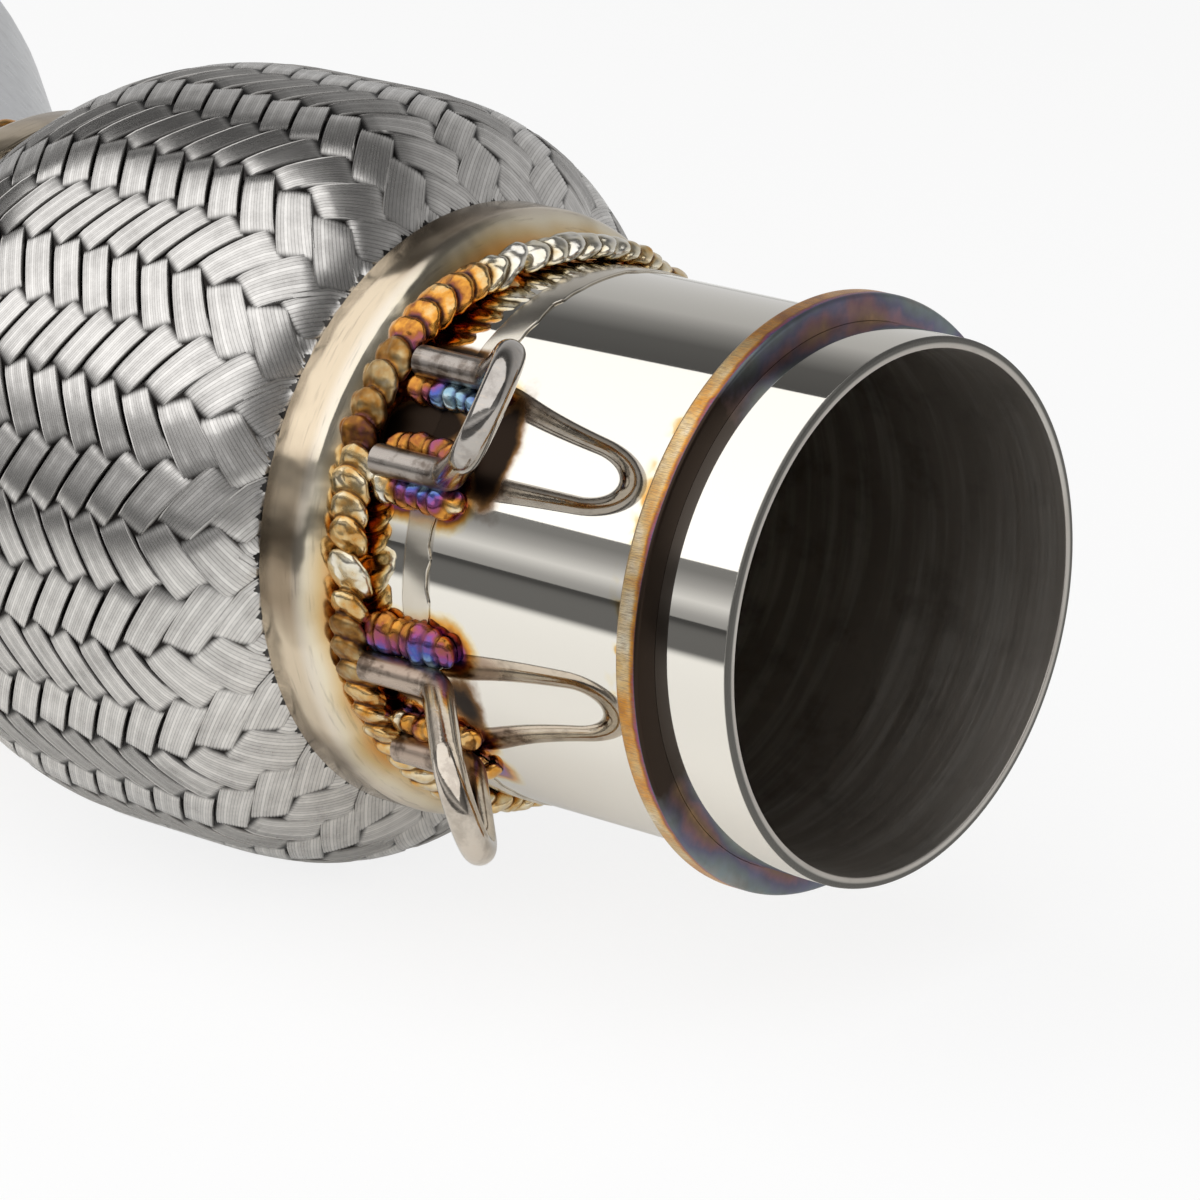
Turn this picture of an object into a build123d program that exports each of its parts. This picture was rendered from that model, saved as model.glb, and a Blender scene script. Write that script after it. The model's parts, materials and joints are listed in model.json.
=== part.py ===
from build123d import *
import os
from math import asin, cos, degrees, hypot, pi, radians, sin, sqrt, tan

# Exhaust mid pipe: a slip-joint stub, a braided flex joint and a bent rear pipe.
# The mouth centre is the origin, +X points out of the mouth and +Z is up.
# Lengths are millimetres. Stations along X are negative behind the mouth.
# Angles round the pipe are measured from the top towards the near side.

os.makedirs("parts", exist_ok=True)

# Tube stock
tube_radius = 38.1
tube_wall = 1.65
lip_chamfer = 0.35

# Clearances
nest_gap = 0.05
butt_gap = 0.1

# Front stub and its stop ring
stub_length = 54.8
ring_setback = 12.3
ring_width = 3.8
ring_height = 3.8
ring_chamfer = 0.5
ring_weld_leg = 1.4
ring_weld_bulge = 0.2
ring_weld_dimes = 64

# Butt weld between the stub and the neck
butt_weld_width = 5.0
butt_weld_height = 0.5
butt_weld_dimes = 64

# End collars of the flex joint, set back from the butt joint and raised above the tube
collar_setback = 24.0
collar_height = 5.95
collar_wall = 1.25
collar_band = 7.4
collar_slope = 4.0
collar_round = 2.2

# Weld beads that close the collars
collar_weld_leg = 4.5
collar_weld_rise = 3.0
collar_weld_bulge = 1.2
collar_weld_dimes = 64
dime_step = 0.7

# Flex joint, measured between the rear edges of its two collars
flex_length = 80.0
neck_inset = 0.8
end_ring_wall = 2.6

# Braid: how many ribbons run each way, and how full the barrel's two shoulders are
braid_ribbons = 38
braid_peak = 57.0
braid_wall = 1.2
braid_front_run = 31.0
braid_rear_run = 37.0
braid_front_fullness = 4.2
braid_rear_fullness = 2.1
braid_lock_radius = 66.6
braid_tuck = 5.6
groove_depth = 0.6
groove_width = 1.2
braid_gap_size = 1.5
braid_gap_rings = 3
braid_lining_stations = 12

# Bellows: the room is between its crests and the braid, and the lead of a fold is the
# share of its pitch in front of its crest and behind it
bellows_wall = 0.4
bellows_room = 1.1
bellows_folds = 5
bellows_lead = 11.0
fold_lead = 0.25

# Liner hose
liner_ease = 0.15
liner_wall = 1.1
liner_step = 0.6
liner_turns = 6

# Spring hooks, whose first bend is set in front of the collar's rear edge
upper_hook_angle = 53.2
lower_hook_angle = 116.0
hook_rod = 4.4
hook_spread = 15.0
hook_setback = 26.8
hook_lean = 46.0
hook_bend = 5.0
hook_reach = 13.5

# Welds along the hooks' legs
hook_weld_radius = 2.2
hook_weld_offset = 3.0
hook_weld_lift = 0.6
hook_weld_length = 13.2
hook_weld_dimes = 6
hook_weld_step = 0.35

# Rear pipe
rear_lead = 0.5
bend_radius = 76.2
bend_angle = 40.0
rear_run = 120.0
rear_tail = 110.0

# Stations and radii that follow from the sizes above
tube_bore = tube_radius - tube_wall
tube_seat = tube_radius + nest_gap
ring_front = -ring_setback
ring_rear = ring_front - ring_width
joint_x = -stub_length
collar_radius = tube_radius + collar_height
collar_rear = joint_x - collar_setback
collar_shoulder = collar_rear + collar_band
collar_front = collar_shoulder + collar_slope
cone_face = collar_front + nest_gap
cone_run = collar_slope / (collar_radius - tube_seat)
weld_toe = cone_face + collar_weld_leg
neck_rear = collar_rear + neck_inset
flex_middle = collar_rear - flex_length / 2
end_ring_radius = tube_seat + end_ring_wall
cuff_bore = end_ring_radius + nest_gap
cuff_radius = cuff_bore + bellows_wall
braid_end = collar_radius - collar_wall - nest_gap
braid_front = collar_rear + braid_tuck

# Path of a hook's rod, seen from its own place on the tube
hook_leg_radius = tube_seat + butt_weld_height + nest_gap + hook_rod / 2
hook_leg_angle = degrees(asin(hook_spread / 2 / hook_leg_radius))
hook_leg_height = sqrt(hook_leg_radius**2 - (hook_spread / 2) ** 2)
hook_leg_end = weld_toe + butt_gap
hook_corner = collar_rear + hook_setback + hook_bend * tan(radians(hook_lean / 2))


def rear_twin(x):
    """Station behind the middle of the flex joint that matches one in front of it."""
    return 2 * flex_middle - x


def radial_plane(angle):
    """Plane through the pipe's axis: x along the pipe, y outwards."""
    turn = radians(angle)
    return Plane(origin=(0, 0, 0), x_dir=(1, 0, 0), z_dir=(0, -cos(turn), -sin(turn)))


def outward_plane(angle):
    """Plane across a radius of the pipe: x along the pipe, z outwards."""
    turn = radians(angle)
    return Plane(origin=(0, 0, 0), x_dir=(1, 0, 0), z_dir=(0, -sin(turn), cos(turn)))


def turned_copies(count):
    """Places for copies turned evenly round the pipe's axis."""
    return [Location((0, 0, 0), (360 * i / count, 0, 0)) for i in range(count)]


def cone_inside(radius):
    """Station where the inside of the front collar's sloping face has a given radius."""
    return collar_front - collar_wall * sqrt(1 + cone_run**2) - (radius - tube_seat) * cone_run


def crown(start, end, bulge):
    """Three points that bow out from the line between two points on a weld's toes."""
    run, rise = end[0] - start[0], end[1] - start[1]
    length = hypot(run, rise)
    bow = []
    for t in (0.2, 0.5, 0.8):
        lift = bulge * 4 * t * (1 - t) / length
        bow.append((start[0] + run * t + rise * lift, start[1] + rise * t - run * lift))
    return bow


def dime_ring(root, start, end, bulge, count):
    """Stacked-dime weld round the pipe. Each dime swells from a low section to the full one."""
    with BuildPart() as dime:
        for angle, height in ((0, bulge * dime_step), (360 / count, bulge)):
            with BuildSketch(radial_plane(angle)):
                with BuildLine():
                    Polyline(*root, start, *crown(start, end, height), end, close=True)
                make_face()
        loft(ruled=True)
    with BuildPart() as ring:
        with Locations(*turned_copies(count)):
            add(dime.part)
    return ring.part


def finish(piece, name):
    """Label a finished piece and write it out."""
    piece.label = name
    export_step(piece, f"parts/{name}.step")


# Stub tube with a deburred mouth
with BuildPart() as stub_tube:
    with BuildSketch(Plane.XZ) as stub_section:
        with BuildLine():
            Polyline(
                (joint_x, tube_bore),
                (0, tube_bore),
                (0, tube_radius),
                (joint_x, tube_radius),
                close=True,
            )
        make_face()
        rim = stub_section.vertices().group_by(Axis.X)[-1].sort_by(Axis.Y)[-1]
        chamfer(rim, length=lip_chamfer)
    revolve(axis=Axis.X)
finish(stub_tube.part, "stub_tube")

# Stop ring that limits how far the next pipe slides on
with BuildPart() as stop_ring:
    with BuildSketch(Plane.XZ) as ring_section:
        with BuildLine():
            Polyline(
                (ring_rear, tube_seat),
                (ring_front, tube_seat),
                (ring_front, tube_radius + ring_height),
                (ring_rear, tube_radius + ring_height),
                close=True,
            )
        make_face()
        chamfer(ring_section.vertices().group_by(Axis.Y)[-1], length=ring_chamfer)
    revolve(axis=Axis.X)
finish(stop_ring.part, "stop_ring")

# Thin fusion weld behind the stop ring
ring_weld_face = ring_rear - nest_gap
ring_weld = dime_ring(
    root=[(ring_weld_face, tube_seat)],
    start=(ring_weld_face, tube_seat + ring_weld_leg),
    end=(ring_weld_face - ring_weld_leg, tube_seat),
    bulge=ring_weld_bulge,
    count=ring_weld_dimes,
)
finish(ring_weld, "stop_ring_weld")

# Flat butt weld where the stub meets the neck of the flex joint
butt_weld = dime_ring(
    root=[],
    start=(joint_x + butt_weld_width / 2, tube_seat),
    end=(joint_x - butt_weld_width / 2, tube_seat),
    bulge=butt_weld_height,
    count=butt_weld_dimes,
)
finish(butt_weld, "butt_weld")

# Neck tube that carries the front end of the flex joint
with BuildPart() as neck_tube:
    with BuildSketch(Plane.XZ):
        with BuildLine():
            Polyline(
                (neck_rear, tube_bore),
                (joint_x - butt_gap, tube_bore),
                (joint_x - butt_gap, tube_radius),
                (neck_rear, tube_radius),
                close=True,
            )
        make_face()
    revolve(axis=Axis.X)
finish(neck_tube.part, "neck_tube")

# Spun end collar: a band over the braid, a rounded shoulder and a sloping face
with BuildPart() as front_collar:
    with BuildSketch(Plane.XZ) as collar_section:
        with BuildLine():
            Polyline(
                (collar_rear, collar_radius),
                (collar_rear, collar_radius - collar_wall),
                (cone_inside(collar_radius - collar_wall), collar_radius - collar_wall),
                (cone_inside(tube_seat), tube_seat),
                (collar_front, tube_seat),
                (collar_shoulder, collar_radius),
                close=True,
            )
        make_face()
        shoulder = collar_section.vertices().group_by(Axis.Y)[-1].sort_by(Axis.X)[-1]
        fillet(shoulder, radius=collar_round)
    revolve(axis=Axis.X)
finish(front_collar.part, "front_collar")

# Chunky stacked weld that closes the front collar on the neck
front_collar_weld = dime_ring(
    root=[(cone_face, tube_seat)],
    start=(weld_toe, tube_seat),
    end=(cone_face - collar_weld_rise * cone_run, tube_seat + collar_weld_rise),
    bulge=collar_weld_bulge,
    count=collar_weld_dimes,
)
finish(front_collar_weld, "front_collar_weld")

# End ring that fills the step between the neck and the bellows
end_ring_front = cone_inside(end_ring_radius) - nest_gap
with BuildPart() as front_end_ring:
    with BuildSketch(Plane.XZ):
        with BuildLine():
            Polyline(
                (neck_rear, tube_seat),
                (end_ring_front, tube_seat),
                (end_ring_front, end_ring_radius),
                (neck_rear, end_ring_radius),
                close=True,
            )
        make_face()
    revolve(axis=Axis.X)
finish(front_end_ring.part, "front_end_ring")

# The rear collar, its weld and its end ring mirror the front ones
flex_mirror = Plane(origin=(flex_middle, 0, 0), x_dir=(0, 1, 0), z_dir=(1, 0, 0))
for source, name in (
    (front_collar.part, "rear_collar"),
    (front_collar_weld, "rear_collar_weld"),
    (front_end_ring.part, "rear_end_ring"),
):
    with BuildPart() as rear_piece:
        mirror(source, about=flex_mirror)
    finish(rear_piece.part, name)


def braid_radius(x):
    """Outside radius of the braid at a station: a barrel with a level middle."""
    swell = braid_peak - braid_end
    front_edge = collar_rear - braid_front_run
    rear_edge = rear_twin(collar_rear) + braid_rear_run
    if x > front_edge:
        reach = min((x - front_edge) / braid_front_run, 1)
        return braid_end + swell * (1 - reach**braid_front_fullness)
    if x < rear_edge:
        reach = min((rear_edge - x) / braid_rear_run, 1)
        return braid_end + swell * (1 - reach**braid_rear_fullness)
    return braid_peak


def braid_crossings():
    """Stations where the grooves between ribbons cross the edges of the braid's rows.

    Wires of fixed length lie at a flatter angle where the braid is wide, so the stations
    are closer together there.
    """
    row_turn = 2 * pi / braid_ribbons
    step = 0.1
    x = collar_rear - groove_width
    marks, turned = [x], 0.0
    while x > rear_twin(collar_rear) + groove_width:
        slope = (braid_radius(x - step) - braid_radius(x)) / step
        radius = braid_radius(x - step / 2)
        turned += step * sqrt(1 + slope**2) / sqrt(braid_lock_radius**2 - radius**2)
        x -= step
        if turned > row_turn:
            turned -= row_turn
            marks.append(x)
    return marks


def braid_outline(grooves):
    """Closed outline of the braid's wall in a plane through the axis, with its grooves."""
    first, last = collar_rear, rear_twin(collar_rear)
    outline = [(braid_front, braid_end), (first, braid_end)]
    for x in grooves:
        front, rear = x + groove_width / 2, x - groove_width / 2
        outline.append((front, braid_radius(front)))
        outline.append((x, braid_radius(x) - groove_depth))
        outline.append((rear, braid_radius(rear)))
    outline += [(last, braid_end), (rear_twin(braid_front), braid_end)]
    lining = [
        last + (first - last) * i / braid_lining_stations for i in range(braid_lining_stations + 1)
    ]
    outline.append((rear_twin(braid_front), braid_end - braid_wall))
    outline.extend((x, braid_radius(x) - braid_wall) for x in lining)
    outline.append((braid_front, braid_end - braid_wall))
    return outline


def braid_row(angle, shifts):
    """One row of slanting ribbons, between two planes through the axis one row apart.

    A ribbon's face is slightly twisted, so it is folded along one diagonal.
    """
    sides = []
    for edge, shift in enumerate(shifts):
        plane = radial_plane(angle + edge * row_angle)
        grooves = crossings[shift : len(crossings) - 1 + shift]
        sides.append([plane.from_local_coords(point) for point in braid_outline(grooves)])
    near, far = sides
    faces = [Face(Wire.make_polygon(near)), Face(Wire.make_polygon(far))]
    for i in range(len(near)):
        faces.append(Face(Wire.make_polygon([near[i - 1], near[i], far[i]])))
        faces.append(Face(Wire.make_polygon([near[i - 1], far[i], far[i - 1]])))
    return Solid(Shell(faces))


# Braid sleeve: rows of slanting ribbons round the barrel, each row the mirror of the next.
# A ribbon moves back by one crossing while it passes over one row.
crossings = braid_crossings()
row_angle = 360 / braid_ribbons
falling_row = braid_row(0, (0, 1))
rising_row = braid_row(row_angle, (1, 0))
gap_start = (len(crossings) - braid_gap_rings) // 2
with BuildPart() as braid_rows:
    add(falling_row)
    add(rising_row)
    for edge in range(3):
        with BuildSketch(outward_plane(edge * row_angle).offset(braid_peak + nest_gap)):
            with Locations(*[(x, 0) for x in crossings[gap_start : gap_start + braid_gap_rings]]):
                Rectangle(braid_gap_size, braid_gap_size, rotation=45)
        extrude(amount=-3 * braid_wall, mode=Mode.SUBTRACT)
with BuildPart() as outer_braid:
    with Locations(*turned_copies(braid_ribbons // 2)):
        add(braid_rows.part)
finish(outer_braid.part, "outer_braid")

# Gas-tight bellows, formed from thin tube: deep square folds between two cuffs
first_fold = collar_rear - bellows_lead
fold_pitch = (first_fold - rear_twin(first_fold)) / bellows_folds
last_crest = rear_twin(first_fold) + fold_lead * fold_pitch
bellows_crest = braid_radius(last_crest) - braid_wall - bellows_room - bellows_wall
cuff_front = cone_inside(cuff_radius) - nest_gap
fold_line = [(cuff_front, cuff_bore)]
for fold in range(bellows_folds):
    crest_front = first_fold - (fold + fold_lead) * fold_pitch
    crest_rear = first_fold - (fold + 1 - fold_lead) * fold_pitch
    fold_line += [(crest_front, cuff_bore), (crest_front, bellows_crest)]
    fold_line += [(crest_rear, bellows_crest), (crest_rear, cuff_bore)]
fold_line.append((rear_twin(cuff_front), cuff_bore))
with BuildPart() as bellows:
    with BuildSketch(Plane.XZ):
        with BuildLine():
            Polyline(*fold_line)
            offset(amount=bellows_wall, side=Side.RIGHT, kind=Kind.INTERSECTION)
        make_face()
    revolve(axis=Axis.X)
finish(bellows.part, "bellows")

# Interlocked liner hose: every other half turn is folded out round its neighbours
liner_bore = tube_bore + liner_ease
liner_front = neck_rear - butt_gap
half_turn = (liner_front - rear_twin(liner_front)) / (2 * liner_turns + 1)
bore_line, back_line = [], []
for turn in range(2 * liner_turns + 1):
    step_out = liner_step * (turn % 2)
    for x in (liner_front - turn * half_turn, liner_front - (turn + 1) * half_turn):
        bore_line.append((x, liner_bore + step_out))
        back_line.append((x, liner_bore + step_out + liner_wall))
with BuildPart() as liner_hose:
    with BuildSketch(Plane.XZ):
        with BuildLine():
            Polyline(*bore_line, *reversed(back_line), close=True)
        make_face()
    revolve(axis=Axis.X)
finish(liner_hose.part, "liner_hose")


def spring_hook(angle):
    """Bent-rod hook: two legs along the pipe and a leaning loop between them."""
    side = hook_spread / 2
    lean = radians(hook_lean)
    far = hook_reach + hook_bend * tan(lean / 2)
    loop_x = hook_corner + far * cos(lean)
    loop_z = hook_leg_height + far * sin(lean)
    tip = (loop_x + side * cos(lean), 0, loop_z + side * sin(lean))
    bends = ((hook_leg_end, hook_leg_height), (hook_corner, hook_leg_height), (loop_x, loop_z))
    legs = [[(x, y, z) for x, z in bends] for y in (-side, side)]
    with BuildPart() as hook:
        with BuildLine(outward_plane(angle)) as rod_path:
            FilletPolyline(*legs[0], radius=hook_bend)
            ThreePointArc(legs[0][-1], tip, legs[1][-1])
            FilletPolyline(*reversed(legs[1]), radius=hook_bend)
        with BuildSketch(Plane(origin=rod_path.line @ 0, z_dir=rod_path.line % 0)):
            Circle(hook_rod / 2)
        sweep()
    return hook.part


def hook_weld(hook_angle, leg_side, bead_side):
    """Stacked-dime weld in the nook between a hook's leg and the tube."""
    leg_angle = hook_angle - leg_side * hook_leg_angle
    bead_line = tube_radius + hook_weld_lift
    bead_angle = leg_angle - bead_side * degrees(hook_weld_offset / bead_line)
    bead_rear = hook_leg_end
    bead_front = bead_rear + hook_weld_length
    bead_top = bead_line + hook_weld_radius
    half_dime = hook_weld_length / hook_weld_dimes / 2
    outline = [(bead_rear, bead_line)]
    for dime in range(hook_weld_dimes):
        x = bead_rear + 2 * dime * half_dime
        outline += [(x, bead_top - hook_weld_step), (x + half_dime, bead_top)]
    outline += [(bead_front, bead_top - hook_weld_step), (bead_front, bead_line)]
    spine = radial_plane(bead_angle).from_local_coords((0, bead_line))
    leg_middle = radial_plane(leg_angle).from_local_coords((bead_rear, hook_leg_radius))
    with BuildPart() as weld:
        with BuildSketch(radial_plane(bead_angle)):
            with BuildLine():
                Polyline(*outline, close=True)
            make_face()
        revolve(axis=Axis(spine, (1, 0, 0)))
        with BuildSketch(Plane(origin=leg_middle, z_dir=(1, 0, 0))):
            Circle(hook_rod / 2 + nest_gap)
        extrude(amount=hook_weld_length, mode=Mode.SUBTRACT)
        with BuildSketch(Plane(origin=(bead_rear, 0, 0), z_dir=(1, 0, 0))):
            Circle(tube_seat)
        extrude(amount=hook_weld_length, mode=Mode.SUBTRACT)
        with BuildSketch(Plane(origin=(joint_x, 0, 0), z_dir=(1, 0, 0))):
            Circle(tube_seat + butt_weld_height + nest_gap)
        extrude(amount=butt_weld_width / 2 + nest_gap, both=True, mode=Mode.SUBTRACT)
    return weld.part


# Spring hooks, with their welds named from the top down
for hook_name, angle, beads in (
    ("upper_hook", upper_hook_angle, ((1, -1), (-1, 1), (-1, -1))),
    ("lower_hook", lower_hook_angle, ((1, 1), (-1, 1), (-1, -1))),
):
    finish(spring_hook(angle), hook_name)
    for number, (leg_side, bead_side) in enumerate(beads, start=1):
        finish(hook_weld(angle, leg_side, bead_side), f"{hook_name}_weld_{number}")


def heading_way(heading):
    """Direction along the rear pipe once it has turned by a heading from the pipe's axis."""
    return Vector(-cos(radians(heading)), sin(radians(heading)), 0)


# Rear pipe: straight out of the flex joint, a bend out and an equal bend back, then a
# plain square end. The second bend turns round the other side of the pipe.
pipe_front = rear_twin(neck_rear)
bend_front = rear_twin(weld_toe) - rear_lead
rear_legs = ((pipe_front - bend_front, 1), (rear_run, -1), (rear_tail, 0))
spot, heading = Vector(pipe_front, 0, 0), 0.0
with BuildPart() as rear_pipe:
    for length, side in rear_legs:
        ahead = heading_way(heading)
        with BuildSketch(Plane(origin=spot, z_dir=ahead)):
            Circle(tube_radius)
            Circle(tube_bore, mode=Mode.SUBTRACT)
        extrude(amount=length)
        spot += ahead * length
        if side:
            turn_axis = Vector(0, 0, side)
            centre = spot + ahead.cross(turn_axis) * bend_radius
            with BuildSketch(Plane(origin=spot, z_dir=ahead)):
                Circle(tube_radius)
                Circle(tube_bore, mode=Mode.SUBTRACT)
            revolve(axis=Axis(centre, turn_axis * -1), revolution_arc=bend_angle)
            heading += side * bend_angle
            spot = centre - heading_way(heading).cross(turn_axis) * bend_radius
finish(rear_pipe.part, "rear_pipe")
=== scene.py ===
import json
import logging
import math
import random
from collections.abc import Callable, Sequence
from dataclasses import dataclass
from enum import Enum

import bpy
from mathutils import Matrix, Vector, kdtree, noise

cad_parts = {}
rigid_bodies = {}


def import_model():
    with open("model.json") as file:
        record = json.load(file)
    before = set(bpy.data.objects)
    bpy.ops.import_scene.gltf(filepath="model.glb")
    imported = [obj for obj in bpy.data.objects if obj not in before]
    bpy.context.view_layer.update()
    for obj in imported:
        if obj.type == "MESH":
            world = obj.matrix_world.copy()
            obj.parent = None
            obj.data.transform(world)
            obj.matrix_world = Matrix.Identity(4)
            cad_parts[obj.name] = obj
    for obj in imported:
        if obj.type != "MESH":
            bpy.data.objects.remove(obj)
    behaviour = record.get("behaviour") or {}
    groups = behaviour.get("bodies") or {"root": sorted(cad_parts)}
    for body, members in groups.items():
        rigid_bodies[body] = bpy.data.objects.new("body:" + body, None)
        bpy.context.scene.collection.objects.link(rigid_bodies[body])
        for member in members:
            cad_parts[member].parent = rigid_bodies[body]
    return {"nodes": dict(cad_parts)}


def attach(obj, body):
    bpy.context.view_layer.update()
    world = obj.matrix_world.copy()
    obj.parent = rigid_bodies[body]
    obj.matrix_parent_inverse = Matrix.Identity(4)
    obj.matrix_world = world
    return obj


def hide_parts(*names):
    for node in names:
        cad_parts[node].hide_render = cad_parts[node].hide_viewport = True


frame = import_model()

# The mouth centre is the origin, +X points out of the mouth and +Z is up. Sizes are
# millimetres and are scaled when a mesh is placed. Angles round the pipe are degrees
# from the top towards the near side.

LOG = logging.getLogger("mid_pipe")
MM = 0.001
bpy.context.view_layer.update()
Pair = tuple[float, float]
Point = tuple[float, float, float]
Colour = tuple[float, float, float]
# Places and sizes that several pieces share
TUBE_RADIUS = 38.1
BUTT_JOINT = -54.8
COLLAR_REAR = -78.8
BRAID_LENGTH = 80.0
FLEX_MIDDLE = COLLAR_REAR - BRAID_LENGTH / 2
RIBBON_WIRES = 12
# Length that one degree spans on the tube's outside
MM_PER_DEGREE = 0.665


class Slot(Enum):
    """Material slots of the record that new pieces take their finish from."""

    POLISHED_TUBE = "polished_tube"
    TINTED_RING = "tinted_ring"
    FUSION_WELD = "fusion_weld"
    COLLAR_STEEL = "collar_steel"
    BRAID_WIRE = "braid_wire"


# Colours that bare stainless steel runs through as it gets hotter
HEAT_COLOURS: tuple[tuple[float, Colour], ...] = (
    (0.00, (0.76, 0.73, 0.67)),
    (0.12, (0.77, 0.70, 0.54)),
    (0.24, (0.66, 0.47, 0.22)),
    (0.34, (0.66, 0.30, 0.05)),
    (0.45, (0.30, 0.10, 0.03)),
    (0.56, (0.30, 0.07, 0.18)),
    (0.68, (0.07, 0.10, 0.36)),
    (0.84, (0.26, 0.42, 0.50)),
    (1.00, (0.60, 0.60, 0.58)),
)


class Value:
    """What a shader node gives, so that Python arithmetic on it adds Math nodes."""

    def __init__(self, shader: "Shader", socket: bpy.types.NodeSocket) -> None:
        """Wraps one output socket of a shader's tree."""
        self.shader = shader
        self.socket = socket

    def math(self, operation: str, *others: "Value | float") -> "Value":
        """Adds one Math node.

        Args:
            operation: The node's operation.
            others: What follows this value among the node's operands.

        Returns:
            The node's result.
        """
        operands = dict(enumerate((self, *others)))
        return self.shader.node("ShaderNodeMath", {"operation": operation}, operands)

    def __add__(self, other: "Value | float") -> "Value":
        """Sum."""
        return self.math("ADD", other)

    __radd__ = __add__

    def __sub__(self, other: "Value | float") -> "Value":
        """Difference."""
        return self.math("SUBTRACT", other)

    def __rsub__(self, other: float) -> "Value":
        """Difference from a number."""
        return self.math("MULTIPLY_ADD", -1.0, other)

    def __mul__(self, other: "Value | float") -> "Value":
        """Product."""
        return self.math("MULTIPLY", other)

    __rmul__ = __mul__

    def __truediv__(self, other: "Value | float") -> "Value":
        """Quotient."""
        return self.math("DIVIDE", other)

    def __pow__(self, other: "Value | float") -> "Value":
        """Power."""
        return self.math("POWER", other)

    def step(self, low: float, high: float) -> "Value":
        """Smooth step from 0 at low to 1 at high, or down where low is the greater.

        Args:
            low: Value at which the step starts.
            high: Value at which it ends.

        Returns:
            The step, between 0 and 1.
        """
        settings = {"interpolation_type": "SMOOTHSTEP"}
        if low > high:
            rise = self.shader.node("ShaderNodeMapRange", settings, {0: self, 1: high, 2: low})
            return 1 - rise
        return self.shader.node("ShaderNodeMapRange", settings, {0: self, 1: low, 2: high})

    def clamp(self) -> "Value":
        """Holds the value between 0 and 1."""
        return self.shader.node("ShaderNodeClamp", {}, {0: self})


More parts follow.
